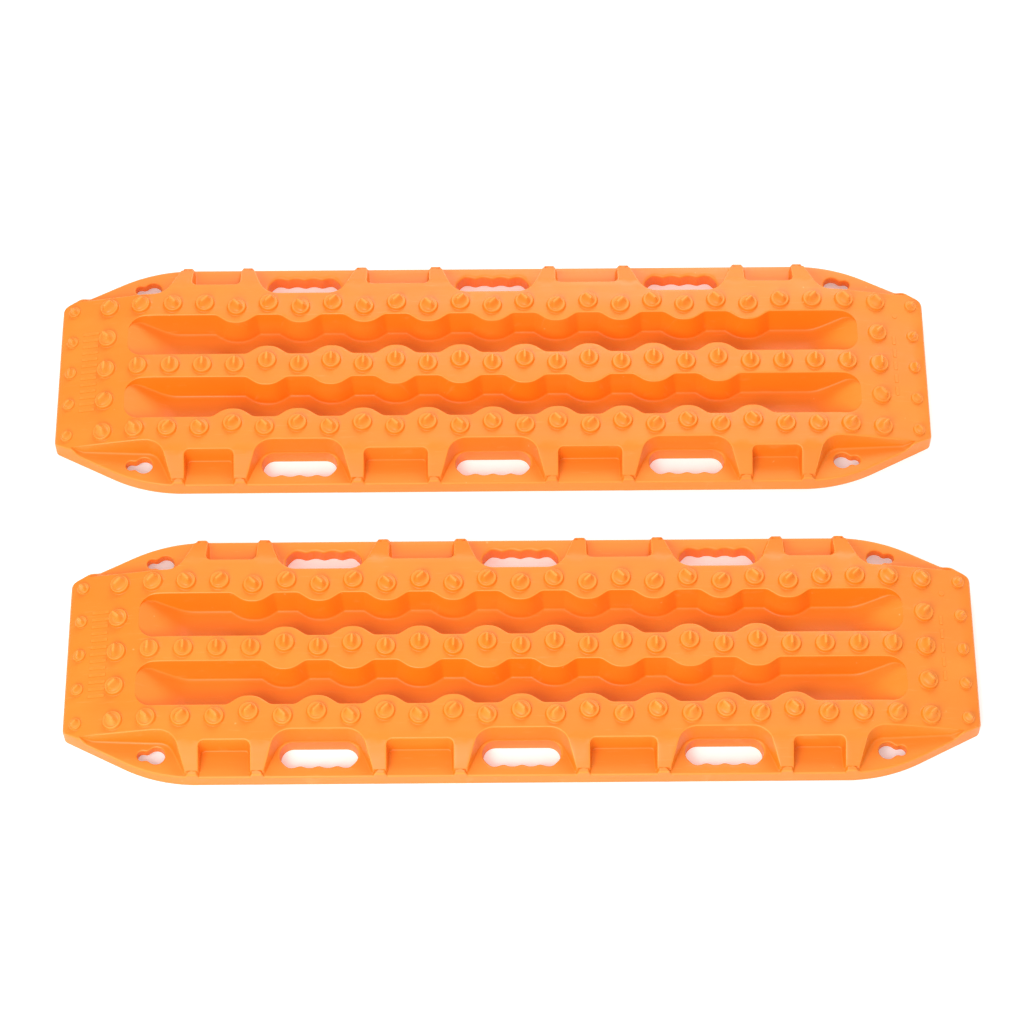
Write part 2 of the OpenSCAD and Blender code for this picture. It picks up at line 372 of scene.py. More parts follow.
    def mesh(self, name: str, place: np.ndarray) -> bpy.types.Mesh:
        """Make the Blender mesh, in metres, moved to its place.

        Args:
            name: Name of the mesh.
            place: Where the mat's own origin lies, in metres.

        Returns:
            A mesh with outward faces and a point attribute of edge wear and painted highlight.
        """
        points = np.vstack(self.points) * MM + place
        quads, triangles = np.vstack(self.quads), np.vstack(self.triangles)
        loops = np.concatenate([quads.ravel(), triangles.ravel()]).astype(np.int32)
        sizes = np.concatenate([np.full(len(quads), 4), np.full(len(triangles), 3)])
        starts = np.concatenate([[0], np.cumsum(sizes)[:-1]]).astype(np.int32)
        mesh = bpy.data.meshes.new(name)
        mesh.vertices.add(len(points))
        mesh.vertices.foreach_set("co", points.astype(np.float32).ravel())
        mesh.loops.add(len(loops))
        mesh.loops.foreach_set("vertex_index", loops)
        mesh.polygons.add(len(sizes))
        mesh.polygons.foreach_set("loop_start", starts)
        mesh.update(calc_edges=True)
        mesh.validate()
        turned = bmesh.new()
        turned.from_mesh(mesh)
        bmesh.ops.recalc_face_normals(turned, faces=turned.faces)
        turned.to_mesh(mesh)
        turned.free()
        # Point attribute that lightens edges and nibs: partly edge wear, partly painted highlight.
        wear_and_highlight = mesh.attributes.new("edge_wear_and_highlight", "FLOAT", "POINT")
        wear_and_highlight.data.foreach_set("value", np.concatenate(self.wear_and_highlight).astype(np.float32))
        return mesh


def crossings(spots: np.ndarray, plan: np.ndarray, edges: np.ndarray) -> np.ndarray:
    """Count how many edges a line from each spot towards +X crosses.

    An edge counts if its ends lie on different sides of the spot's Y and it passes the spot's Y at
    a larger X. The spots are taken in batches to save memory.

    Args:
        spots: Points of the plan.
        plan: The rings' points.
        edges: The rings' edges, as pairs of rows of the plan.

    Returns:
        The number of edges for each spot.
    """
    a, b = plan[edges[:, 0]], plan[edges[:, 1]]
    slope = (b[:, 0] - a[:, 0]) / np.where(b[:, 1] == a[:, 1], 1.0, b[:, 1] - a[:, 1])
    count = np.zeros(len(spots), int)
    for part in np.array_split(np.arange(len(spots)), max(1, len(spots) // BATCH)):
        y = spots[part, 1][:, None]
        between = (a[None, :, 1] > y) != (b[None, :, 1] > y)
        at = a[None, :, 0] + (y - a[None, :, 1]) * slope[None, :]
        count[part] = np.sum(between & (at > spots[part, 0][:, None]), axis=1)
    return count


def ring_distance(spots: np.ndarray, plan: np.ndarray, edges: np.ndarray) -> np.ndarray:
    """Give each spot's distance to the nearest edge.

    The nearest place of an edge is the foot of the spot's perpendicular, held between its ends. The
    spots are taken in batches to save memory.

    Args:
        spots: Points of the plan.
        plan: The rings' points.
        edges: The rings' edges, as pairs of rows of the plan.

    Returns:
        The distance for each spot.
    """
    a, b = plan[edges[:, 0]], plan[edges[:, 1]]
    run = b - a
    square = np.maximum(np.sum(run * run, axis=1), 1e-12)
    nearest = np.zeros(len(spots))
    for part in np.array_split(np.arange(len(spots)), max(1, len(spots) // BATCH)):
        off = spots[part][:, None, :] - a[None]
        t = np.clip(np.sum(off * run[None], axis=2) / square, 0.0, 1.0)
        nearest[part] = np.linalg.norm(off - t[..., None] * run[None], axis=2).min(axis=1)
    return nearest


@dataclass(frozen=True)
class MatForm:
    """Outer sizes of a mat and the heights of its surfaces."""

    length: float = 1060.0
    width: float = 306.0
    end_width: float = 193.0
    taper: float = 27.0
    taper_radius: float = 190.0
    end_radius: float = 8.0
    deck: float = 46.0
    flange: float = 20.0
    wall: float = 4.0
    deck_y: float = 103.5
    pocket_y: float = 116.5
    rib_start: float = 117.5
    slope_length: float = 106.0
    slope: float = 11.7
    slope_bend: float = 12.0
    end_roll: float = 9.0
    end_roll_radius: float = 11.0
    rib_y: float = 147.7
    rib_end: float = 26.0
    rib_bend: float = 4.0
    rib_fade: float = 1.6
    corner_fade: tuple[float, float] = (34.0, 20.0)
    sunk: float = 0.05
    end_inset: float = 2.5
    edge_lean: float = 0.6
    side_round: float = 2.1
    end_round: float = 1.6

    @property
    def half(self) -> float:
        """Half the mat's length."""
        return self.length / 2

    def top(self, p: np.ndarray) -> np.ndarray:
        """Height of the deck.

        It is level, slopes down along soft ramps to both ends and along the buttresses to both
        sides, and rolls over at the ends along a parabola.

        Args:
            p: Places in plan.

        Returns:
            The height at each place.
        """
        x, y = np.abs(p[:, 0]), np.abs(p[:, 1])
        ends = soft_ramp(x - (self.half - self.slope_length), self.slope_bend)
        fall = (self.deck - self.rib_end) / (self.width / 2 - self.rib_start)
        sides = soft_ramp(y - self.rib_start, self.rib_bend)
        roll = np.maximum(x - (self.half - self.end_roll), 0.0) ** 2 / (2 * self.end_roll_radius)
        return self.deck - ends * math.tan(math.radians(self.slope)) - sides * fall - roll

    def under(self, height: Height) -> Height:
        """Return the height one wall thickness lower."""
        return lambda p: height(p) - self.wall

    def edge_corners(self) -> list[Corner]:
        """Corners of the whole mat: straight sides that taper to both ends."""
        half_w, end_y = self.width / 2, self.end_width / 2
        knee = self.half - (half_w - end_y) / math.tan(math.radians(self.taper))
        quarter = [Corner(self.half, end_y, self.end_radius, self.edge_lean, self.end_round, 0.0),
                   Corner(knee, half_w, self.taper_radius, self.edge_lean, self.side_round, 0.0)]
        return around(quarter)


def around(quarter: Sequence[Corner]) -> list[Corner]:
    """Repeat the corners of the quarter with +X and +Y round the mat, counter-clockwise.

    Args:
        quarter: Corners from the +X end towards the middle of the +Y side.

    Returns:
        All corners, starting at the +X end.
    """
    back = list(reversed(quarter))
    rear = [*quarter, *[c.turned(-1, 1) for c in back]]
    return [*rear, *[c.turned(-1, -1) for c in quarter], *[c.turned(1, -1) for c in back]]


@dataclass(frozen=True)
class Recesses:
    """Places beside the deck where the flange lies open: by the hand slots, in pockets, at corners."""

    pitch: float = 233.0
    outer: float = 64.5
    lean: float = 16.0
    radius: float = 24.0
    buttress: float = 13.5
    pocket_radius: float = 7.0
    corner_length: float = 146.0
    end_bend: float = 6.0
    nose: float = 1.6
    flank: float = 1.5
    flank_reach: float = 1.6
    nose_gap: float = 0.15
    run_step: float = 1.1
    run_rows: tuple[float, ...] = (0.8, 1.5)

    def deck_corners(self, form: MatForm) -> list[Corner]:
        """Corners of the raised deck, with buttresses between the recesses.

        Args:
            form: The mat's sizes.

        Returns:
            The deck's corners, counter-clockwise.
        """
        corner_x = form.half - self.corner_length
        past = (form.width / 2 + 1 - form.rib_y) / (form.width / 2 + 1 - form.deck_y)
        slant = self.lean * past
        tilt = math.radians(form.taper)
        inset_x = form.half - form.end_inset
        end_y = form.end_width / 2 + form.end_inset * (math.tan(tilt) - 1 / math.cos(tilt))
        meet = form.deck_y - form.end_width / 2 + form.end_inset / math.cos(tilt)
        quarter = [
            Corner(inset_x, end_y, form.end_radius - form.end_inset),
            Corner(form.half - meet / math.tan(tilt), form.deck_y, self.end_bend),
            Corner(corner_x + self.lean, form.deck_y, self.radius),
            self._nose(corner_x + slant, form), self._nose(corner_x - self.buttress, form),
            self._pocket(corner_x - self.buttress, form), self._pocket(self.pitch + self.foot_x, form),
            self._nose(self.pitch + self.foot_x, form), self._nose(self.pitch + self.outer - slant, form),
            self._beside_slot(self.pitch + self.outer - self.lean, form),
            self._beside_slot(self.pitch - self.outer + self.lean, form),
            self._nose(self.pitch - self.outer + slant, form), self._nose(self.pitch - self.foot_x, form),
            self._pocket(self.pitch - self.foot_x, form), self._pocket(self.foot_x, form),
            self._nose(self.foot_x, form), self._nose(self.outer - slant, form),
            self._beside_slot(self.outer - self.lean, form)]
        return around(quarter)

    @property
    def foot_x(self) -> float:
        """Distance from a hand slot's middle to the next pocket."""
        return self.outer + self.buttress

    def rim_share(self, p: np.ndarray, form: MatForm) -> np.ndarray:
        """Tell how far a place lies on a buttress's run-out to the rim.

        Args:
            p: Places in plan.
            form: The mat's sizes.

        Returns:
            1 on the run-out, 0 away from it, and smooth steps between.
        """
        x, y = np.abs(p[:, 0]), np.abs(p[:, 1])
        inside = sum(smooth_step(x, start - self.flank, start + self.flank)
                     * smooth_step(-x, -end - self.flank, self.flank - end)
                     for start, end in self.spans(form))
        return inside * smooth_step(y, form.rib_y - form.rib_fade, form.rib_y - self.nose_gap)

    def spans(self, form: MatForm) -> list[tuple[float, float]]:
        """List where the buttresses of one quarter start and end along the rim.

        Args:
            form: The mat's sizes.

        Returns:
            One (start, end) along X for each buttress.
        """
        corner_x = form.half - self.corner_length
        near, far = self.outer - self.flank / 2, self.foot_x - self.flank / 2
        return [(near, far), (self.pitch - far, self.pitch - near),
                (self.pitch + near, self.pitch + far),
                (corner_x - self.buttress + self.flank / 2, corner_x + self.flank / 2)]

    def run_out(self, form: MatForm) -> np.ndarray:
        """Give points of the plan on both flanks of every buttress, between its nose and the rim.

        Args:
            form: The mat's sizes.

        Returns:
            Points in two rows beside each nose, for all four quarters.
        """
        reach = self.flank * self.flank_reach
        xs = np.concatenate([np.arange(start - reach, end + reach, self.run_step)
                             for start, end in self.spans(form)])
        quarter = np.array([(x, form.rib_y + off) for off in self.run_rows for x in xs])
        return np.vstack([quarter * np.array([sx, sy]) for sx in (1, -1) for sy in (1, -1)])

    def _nose(self, x: float, form: MatForm) -> Corner:
        """Corner at the low end of a buttress."""
        return Corner(x, form.rib_y, self.nose, lean=8.0, top=2.0, foot=2.6)

    def _pocket(self, x: float, form: MatForm) -> Corner:
        """Inner corner of a pocket."""
        return Corner(x, form.pocket_y, self.pocket_radius, lean=6.0, foot=1.6)

    def _beside_slot(self, x: float, form: MatForm) -> Corner:
        """Inner corner of a recess whose wall drops straight to a hand slot."""
        return Corner(x, form.deck_y, self.radius, lean=9.6, foot=0.4)


@dataclass(frozen=True)
class Channels:
    """The two long channels, with lobes that reach into them from the strips beside them."""

    inner: float = 16.2
    outer: float = 72.1
    floor: float = 11.0
    end: float = 84.0
    ramp: float = 52.0
    ramp_bend: float = 10.0
    radius: float = 20.0
    lobe: float = 11.2
    crest_half: float = 9.0
    root_half: float = 25.0
    crest_radius: float = 24.0
    root_radius: float = 11.0

    def height(self, form: MatForm) -> Height:
        """Height of a floor: level, with a soft ramp up to the deck at each end.

        Args:
            form: The mat's sizes.

        Returns:
            The height as a function of places in plan.
        """
        end_x = form.half - self.end
        rise = float(form.top(np.array([[end_x, 0.0]]))[0]) - self.floor

        def floor(p: np.ndarray) -> np.ndarray:
            """Height over points of the plan, held just under the deck."""
            run = soft_ramp(np.abs(p[:, 0]) - (end_x - self.ramp), self.ramp_bend)
            return np.minimum(self.floor + run * rise / self.ramp, form.top(p) - LEAST_WALL)

        return floor

    def corners(self, form: MatForm, middle: Sequence[float],
                outside: Sequence[float]) -> list[Corner]:
        """Corners of the rear channel.

        Args:
            form: The mat's sizes.
            middle: Places along the mat of the middle strip's lobes.
            outside: Places along the mat of the outer strip's lobes.

        Returns:
            The channel's corners, counter-clockwise.
        """
        end_x = form.half - self.end
        near = [c for x in sorted(middle) for c in self._lobe(x, self.inner, self.lobe, 1.0)]
        far = [c for x in sorted(outside, reverse=True)
               for c in self._lobe(x, self.outer, -self.lobe, -1.0)]
        return [Corner(-end_x, self.inner, self.radius), *near,
                Corner(end_x, self.inner, self.radius), Corner(end_x, self.outer, self.radius),
                *far, Corner(-end_x, self.outer, self.radius)]

    def _lobe(self, x: float, base: float, reach: float, way: float) -> list[Corner]:
        """Four corners of one lobe, passed in the direction of way."""
        return [Corner(x - way * self.root_half, base, self.root_radius),
                Corner(x - way * self.crest_half, base + reach, self.crest_radius),
                Corner(x + way * self.crest_half, base + reach, self.crest_radius),
                Corner(x + way * self.root_half, base, self.root_radius)]


@dataclass(frozen=True)
class StudRing:
    """One ring of a stud: its half sizes along and across the nib's thin side, and its height.

    Square is the power of its superellipse, where 2 is a circle, and wear is how much the ring is lightened:
    edge wear on the disc's rim, painted highlight up the nib.
    """

    thin: float
    broad: float
    height: float
    square: float = 2.0
    wear_and_highlight: float = 0.0


@dataclass(frozen=True)
class Studs:
    """Round grip studs with a chisel-shaped nib, in three rows and on the end panels."""

    pitch: float = 39.2
    last: int = 12
    lobe_reach: int = 8
    row: float = 87.8
    jog: float = 5.7
    nib: float = 14.0
    small: float = 0.644
    small_x: float = 514.5
    turn: float = 45.0
    sides: int = 24
    # The disc's foot fillet, its side and its rim, and then the hollow-ground nib up to its crest.
    # Wear values lighten the disc's rim as edge wear and the whole nib as painted highlight, so its shaded
    # flanks stay as pale as the deck.
    rings: tuple[StudRing, ...] = (
        StudRing(12.75, 12.75, 0.0), StudRing(12.0, 12.0, 0.35), StudRing(11.55, 11.55, 1.3, wear_and_highlight=0.2),
        StudRing(11.2, 11.2, 3.3, wear_and_highlight=0.5), StudRing(10.5, 10.5, 4.35, wear_and_highlight=1.0),
        StudRing(9.8, 9.8, 4.5, wear_and_highlight=0.7), StudRing(8.9, 8.9, 4.3, wear_and_highlight=0.5),
        StudRing(7.2, 8.5, 4.6, 2.1, 0.6), StudRing(5.6, 7.9, 5.6, 2.3, 0.7),
        StudRing(4.1, 7.1, 7.7, 2.5, 0.8), StudRing(2.8, 6.2, 10.6, 2.7, 0.9),
        StudRing(2.0, 5.6, 12.7, 2.8, 1.0), StudRing(1.3, 5.0, 13.7, 2.8, 1.0))

    def lobes(self, parity: int) -> list[float]:
        """Places along the mat of the lobes at even or odd columns."""
        return [i * self.pitch for i in range(-self.lobe_reach, self.lobe_reach + 1) if i % 2 == parity]

    def layout(self) -> list[tuple[float, float, float, float]]:
        """List every stud as its place in plan, the turn of its nib and its scale.

        Returns:
            One (x, y, degrees, scale) for each stud.
        """
        found = []
        end_x = self.last * self.pitch
        for i in range(-self.last, self.last + 1):
            x = i * self.pitch
            near = abs(i) <= self.lobe_reach
            jog_mid = self.jog if near and i % 2 else 0.0
            jog_out = self.jog if near and not i % 2 else 0.0
            back = i % 2 != 0 or abs(i) == self.last
            lean = (-self.turn if back else self.turn) * (1 if i < 0 else -1)
            found += [(x, jog_mid, 0.0, 1.0), (x, self.row - jog_out, lean, 1.0),
                      (x, jog_out - self.row, -lean, 1.0)]
        for side in (-1, 1):
            found += [(side * end_x, k * self.row / 2, -side * k * self.turn, 1.0) for k in (-1, 1)]
            found += [(side * self.small_x, k * self.row / 2, -side * np.sign(k) * self.turn, self.small)
                      for k in range(-2, 3)]
        return found

    def mould(self, skin: Skin, form: MatForm) -> list[np.ndarray]:
        """Add every stud to the skin.

        A ring is a superellipse: cosine and sine to the power 2 / squareness, times its half sizes.
        It is turned, tilted square to the deck, and put at its height above the deck. The first ring
        lies on the deck itself.

        Args:
            skin: The moulding.
            form: The mat's sizes.

        Returns:
            The numbers of each stud's first ring.
        """
        angle = np.linspace(0.0, 2 * math.pi, self.sides, endpoint=False)
        cos, sin = np.cos(angle), np.sin(angle)
        first = []
        for x, y, degrees, scale in self.layout():
            step = np.array([[x - 1.0, y], [x, y], [x + 1.0, y]])
            low, base, high = form.top(step)
            tilt = math.atan2(high - low, 2.0)
            turn = math.radians(degrees)
            numbers = []
            for level in self.rings:
                u = scale * level.thin * np.sign(cos) * np.abs(cos) ** (2 / level.square)
                v = scale * level.broad * np.sign(sin) * np.abs(sin) ** (2 / level.square)
                u, v = u * math.cos(turn) - v * math.sin(turn), u * math.sin(turn) + v * math.cos(turn)
                lift = scale * level.height
                ring = np.column_stack([x + u * math.cos(tilt) - lift * math.sin(tilt), y + v,
                                        base + u * math.sin(tilt) + lift * math.cos(tilt)])
                if not numbers:
                    ring[:, 2] = form.top(ring[:, :2])
                numbers.append(skin.add(ring, level.wear_and_highlight))
            for lower, upper in zip(numbers, numbers[1:]):
                skin.loft(lower, upper)
            lift = scale * self.nib
            peak = np.array([x - lift * math.sin(tilt), y, base + lift * math.cos(tilt)])
            skin.cap(numbers[-1], peak, 1.0)
            first.append(numbers[0])
        return first


@dataclass(frozen=True)
class Relief:
    """Low raised marks on the end panels: a row of plain bars, a few dashes and a gate mark."""

    height: float = 0.6
    buried: float = 0.4
    draft: float = 0.35
    # Lightening of each mark's top: edge wear and painted highlight.
    wear_and_highlight: float = 0.6
    corner: float = 0.9
    bar: tuple[float, float] = (20.0, 4.2)
    bar_x: float = -492.0
    bar_pitch: float = 9.0
    bars: int = 13
    dash: tuple[float, float] = (4.2, 12.0)
    dash_x: float = 491.0
    dash_pitch: float = 18.0
    dashes: int = 5
    # Place and radius of the round mark that the mould's gate leaves.
    gate: tuple[float, float, float] = (494.0, 71.0, 3.2)

    def marks(self) -> list[tuple[float, float, float, float, float]]:
        """List every mark on both end panels.

        Returns:
            One (x, y, length, width, corner radius) for each mark.
        """
        rows = [(self.bar_x, (i - (self.bars - 1) / 2) * self.bar_pitch, *self.bar, self.corner)
                for i in range(self.bars)]
        rows += [(self.dash_x, (i - (self.dashes - 1) / 2) * self.dash_pitch, *self.dash, self.corner)
                 for i in range(self.dashes)]
        x, y, radius = self.gate
        return [*rows, (x, y, 2 * radius, 2 * radius, radius - 0.01)]

    def mould(self, skin: Skin, form: MatForm) -> None:
        """Add each mark as a low frustum that starts inside the deck's skin.

        Args:
            skin: The moulding.
            form: The mat's sizes.
        """
        for x, y, length, width, radius in self.marks():
            numbers = []
            levels = ((0.0, -self.buried, 0.0), (0.0, 0.0, 0.0), (self.draft, self.height, self.wear_and_highlight))
            for inset, lift, wear_and_highlight in levels:
                a, b, r = length / 2 - inset, width / 2 - inset, radius - inset
                corners = [Corner(-a, -b, r), Corner(a, -b, r), Corner(a, b, r), Corner(-a, b, r)]
                plan = Outline.rounded(corners, reach=30.0).moved(x, y).xy
                numbers.append(skin.add(np.column_stack([plan, form.top(plan) + lift]), wear_and_highlight))
            for lower, upper in zip(numbers, numbers[1:]):
                skin.loft(lower, upper)
            for ring, lift in ((numbers[0], -self.buried), (numbers[-1], self.height)):
                middle = np.array([[x, y]])
                skin.cap(ring, np.array([x, y, form.top(middle)[0] + lift]))


@dataclass(frozen=True)
class Openings:
    """Hand slots with finger scallops, and keyholes, each with a lip that hangs below the flange."""

    slot_length: float = 90.0
    slot_width: float = 31.5
    slot_inner: float = 108.9
    slot_radius: float = 15.0
    scallop: float = 2.2
    scallop_pitch: float = 21.2
    scallop_fade: float = 7.0
    hump_power: float = 1.4
    slot_lean: float = 1.5
    # Radii of a slot's top edge on its inner and its outer side, and the distance between the two.
    slot_edges: tuple[float, float] = (0.3, 3.2)
    edge_fade: float = 9.0
    slot_wall: float = 3.4
    key_x: float = 420.5
    key_y: float = 124.5
    key_radius: float = 10.5
    key_small: float = 6.3
    key_reach: float = 15.5
    key_neck: float = 6.0
    key_lip: float = 11.0
    key_lean: float = 2.0
    key_wall: float = 3.2
    key_round: float = 2.4
    key_step: float = 1.8
    lip_round: float = 0.3

    def slot(self) -> Outline:
        """Outline of a rear hand slot around its own middle.

        A rounded rectangle whose outer half is pushed out by scallops: each is 1 minus the cosine
        hump between two fingers, sharpened a little. The wall's top edge is rounder on that side.

        Returns:
            The outline.
        """
        half_x, half_y = self.slot_length / 2, self.slot_width / 2
        outer = half_y - self.scallop
        corners = [Corner(-half_x, -half_y, self.slot_radius), Corner(half_x, -half_y, self.slot_radius),
                   Corner(half_x, outer, self.slot_radius - self.scallop),
                   Corner(-half_x, outer, self.slot_radius - self.scallop)]
        plan = Outline.rounded(corners, reach=1.6).xy
        hump = (0.5 + 0.5 * np.cos(2 * math.pi * plan[:, 0] / self.scallop_pitch)) ** self.hump_power
        ends = smooth_step(-np.abs(plan[:, 0]), -half_x, -half_x + self.scallop_fade)
        push = self.scallop * (1 - hump) * smooth_step(plan[:, 1], 0.0, outer) * ends
        xy = plan + np.column_stack([np.zeros(len(plan)), push])
        inner_edge, outer_edge = self.slot_edges
        across = smooth_step(xy[:, 1], -half_y, -half_y + self.edge_fade)
        top = inner_edge + (outer_edge - inner_edge) * across
        return Outline.measured(xy, self.slot_lean, top, 0.0)

    def slot_lip(self) -> Outline:
        """Outside of a hand slot's lip: the plain rounded rectangle, grown by the lip's wall.

        Returns:
            The outline.
        """
        half_x, half_y = self.slot_length / 2, self.slot_width / 2
        corners = [Corner(-half_x, -half_y, self.slot_radius), Corner(half_x, -half_y, self.slot_radius),
                   Corner(half_x, half_y, self.slot_radius), Corner(-half_x, half_y, self.slot_radius)]
        lip = [replace(c, lean=0.5, top=0.2, foot=0.0) for c in shifted(corners, self.slot_wall)]
        return Outline.rounded(lip)

    def keyhole(self, grow: float, top: float) -> Outline:
        """Outline of a keyhole at the +X, +Y corner.

        Two circles on one line, joined by hollow arcs. An arc's centre lies one arc radius away from
        both circles.

        Args:
            grow: How far outside the hole's own wall the outline runs.
            top: Radius of the wall's top edge.

        Returns:
            The outline.
        """
        big, small, neck = self.key_radius + self.key_neck, self.key_small + self.key_neck, self.key_neck
        cx = (self.key_reach ** 2 + big ** 2 - small ** 2) / (2 * self.key_reach)
        cy = math.sqrt(big ** 2 - cx ** 2)
        at_big, at_small = math.atan2(cy, cx), math.atan2(cy, cx - self.key_reach)
        arcs = [(self.key_reach, 0.0, self.key_small, -at_small, at_small, 1.0),
                (cx, cy, neck, at_small - math.pi, at_big - math.pi, -1.0),
                (0.0, 0.0, self.key_radius, at_big, 2 * math.pi - at_big, 1.0),
                (cx, -cy, neck, math.pi - at_big, math.pi - at_small, -1.0)]
        points, normals = [], []
        for x, y, radius, start, end, way in arcs:
            steps = max(5, math.ceil(abs(end - start) * radius / self.key_step))
            angle = np.linspace(start, end, steps)[:-1]
            ray = np.column_stack([np.cos(angle), np.sin(angle)])
            points.append(np.array([x, y]) + ray * radius)
            normals.append(ray * way)
        xy, normal = np.vstack(points), np.vstack(normals)
        flat = np.ones(len(xy))
        centre = np.array([self.key_x, self.key_y])
        return Outline(xy + centre + normal * grow, normal, flat * self.key_lean, flat * top, flat * 0.0)


class TractionMat:
    """One mat: a moulded skin with an underside, ribs, studs, slots and keyholes."""

    # Shares of the whole turn at which a rounded edge has a ring.
    round_shares = (0.0, 0.36, 0.7, 1.0)
    # A wall has its full radii from this height on, and at least this share of them below it.
    full_radius_height = 14.0
    least_share = 0.03
    # Distance between the points inside a level face: on the channels' floors, on the other faces
    # outside, on the floors and the other faces of the underside, and on faces with no bend.
    floor_grid = 6.0
    face_grid = 9.0
    floor_under_grid = 12.0
    under_grid = 14.0
    flat_grid = 50.0
    # Longest side of the outer wall's faces, short enough to follow the buttresses' run-outs.
    edge_reach = 1.2
    # How far the outer wall stands inside the mat's nominal edge.
    edge_gap = 0.25
    # A rib's half thickness, its clearance to a channel's end, its height over the ground between
    # the channels, and the length of its step down to the ground.
    rib_half = 1.5
    rib_clear = 8.0
    rib_low = 8.0
    rib_step = 0.1

    def __init__(self) -> None:
        """Set the sizes of the mat's features."""
        self.form = MatForm()
        self.recesses = Recesses()
        self.channels = Channels()
        self.studs = Studs()
        self.relief = Relief()
        self.openings = Openings()
        self.skin = Skin()

    def wall(self, line: Outline, top: Height, base: Height, fall: Fall,
             foot: bool = True, wear_and_highlight: float = 1.0) -> tuple[np.ndarray, np.ndarray]:
        """Hang a wall with rounded edges from an outline.

        Over a turn from level to the wall's own lean, the top edge is an arc tangent to the upper
        surface and the wall, and the foot is another, tangent to the wall and the lower surface.
        Where the wall is low its radii shrink with its height.

        Args:
            line: The sharp edge in plan where upper surface and wall would meet.
            top: Height of the upper surface.
            base: Height of the lower surface.
            fall: Side on which the wall goes down.
            foot: Whether the wall ends in a rounded foot.
            wear_and_highlight: Edge wear and painted highlight on the top edge.

        Returns:
            Numbers of the uppermost and the lowest ring.
        """
        high = np.maximum(top(line.xy) - base(line.xy), LEAST_WALL)
        share = np.clip(high / self.full_radius_height, self.least_share, 1.0)
        lean = np.radians(line.lean)
        full = math.pi / 2 - lean
        edge, root = line.top * share, line.foot * share
        numbers = []
        for part in self.round_shares:
            turn = full * part
            out = edge * (np.sin(turn) - np.tan(full / 2))
            plan = line.xy + line.normal * (out * fall.value)[:, None]
            ring = np.column_stack([plan, top(plan) - edge * (1 - np.cos(turn))])
            # The top edge is lightened most half way round its turn: edge wear and painted highlight.
            numbers.append(self.skin.add(ring, wear_and_highlight * math.sin(math.pi * part) ** 0.5 * share))
        for part in reversed(self.round_shares if foot else (0.0,)):
            turn = full * part
            out = high * np.tan(lean) + root * (np.tan(full / 2) - np.sin(turn))
            plan = line.xy + line.normal * (out * fall.value)[:, None]
            ring = np.column_stack([plan, base(plan) + root * (1 - np.cos(turn))])
            numbers.append(self.skin.add(ring))
        for upper, lower in zip(numbers, numbers[1:]):
            self.skin.loft(upper, lower)
        return numbers[0], numbers[-1]

    def build(self) -> None:
        """Mould the whole mat."""
        self._plan()
        self._outside()
        self.relief.mould(self.skin, self.form)
        self._underside()
        self._ribs()

    def _plan(self) -> None:
        """Work out the corners that the outside and the underside share."""
        self.deck = self.recesses.deck_corners(self.form)
        self.channel = self.channels.corners(self.form, self.studs.lobes(1), self.studs.lobes(0))
        self.edge = self.form.edge_corners()
        self.floor = self.channels.height(self.form)

    def _slots(self, plan: Outline) -> list[Outline]:
        """Place a slot's outline at all six slots."""
        y = self.openings.slot_inner + self.openings.slot_width / 2
        return [plan.moved(k * self.recesses.pitch, y).mirrored(1, side)
                for side in (1, -1) for k in (-1, 0, 1)]

    def _keyholes(self, plan: Outline) -> list[Outline]:
        """Place a keyhole's outline at all four corners."""
        return [plan.mirrored(sx, sy) for sx in (1, -1) for sy in (1, -1)]

    def _outside(self) -> None:
        """Mould the deck, its walls, the channels, the flange and its openings."""
        form, skin = self.form, self.skin
        deck_rim, deck_foot = self.wall(Outline.rounded(self.deck), form.top, self.flange, Fall.OUTWARDS)
        channel = Outline.rounded(self.channel)
        rims = []
        for side in (1, -1):
            rim, foot = self.wall(channel.mirrored(1, side), form.top, self.floor, Fall.INWARDS)
            skin.fill([foot], self.floor, self.floor_grid)
            rims.append(rim)
        skin.fill([deck_rim, *rims, *self.studs.mould(skin, form)], form.top, self.face_grid)
        edge = Outline.rounded(shifted(self.edge, -self.edge_gap), self.edge_reach)
        edge_rim, self.edge_foot = self.wall(edge, self.flange, self.ground, Fall.OUTWARDS, foot=False)
        slots = [self.wall(s, self.flange, self.ground, Fall.INWARDS, foot=False)
                 for s in self._slots(self.openings.slot())]
        keys = [self.wall(k, self.flange, self.key_floor, Fall.INWARDS, foot=False)
                for k in self._keyholes(self.openings.keyhole(0.0, self.openings.key_round))]
        skin.fill([edge_rim, deck_foot, *[s[0] for s in slots], *[k[0] for k in keys]], self.flange,
                  self.face_grid, clear=1.5, extra=self.recesses.run_out(form))
        self.slot_feet, self.key_feet = [s[1] for s in slots], [k[1] for k in keys]

    def flange(self, p: np.ndarray) -> np.ndarray:
        """Height of the flange.

        It is level, and rises to the deck's height at the end corners and where a buttress runs out
        to the rim.

        Args:
            p: Places in plan.

        Returns:
            The height at each place.
        """
        form = self.form
        middle = np.column_stack([p[:, 0], np.zeros(len(p))])
        start, end = (form.half - fade for fade in form.corner_fade)
        corner = smooth_step(np.abs(p[:, 0]), start, end)
        rim = self.recesses.rim_share(p, form)
        level = form.flange + corner * (form.top(middle) - form.sunk - form.flange)
        return level + rim * (form.top(p) - form.sunk - level)

    @staticmethod
    def ground(p: np.ndarray) -> np.ndarray:
        """Height of the ground."""
        return np.zeros(len(p))

    def key_floor(self, p: np.ndarray) -> np.ndarray:
        """Height of the lower edge of a keyhole's lip."""
        return np.full(len(p), self.form.flange - self.openings.key_lip)

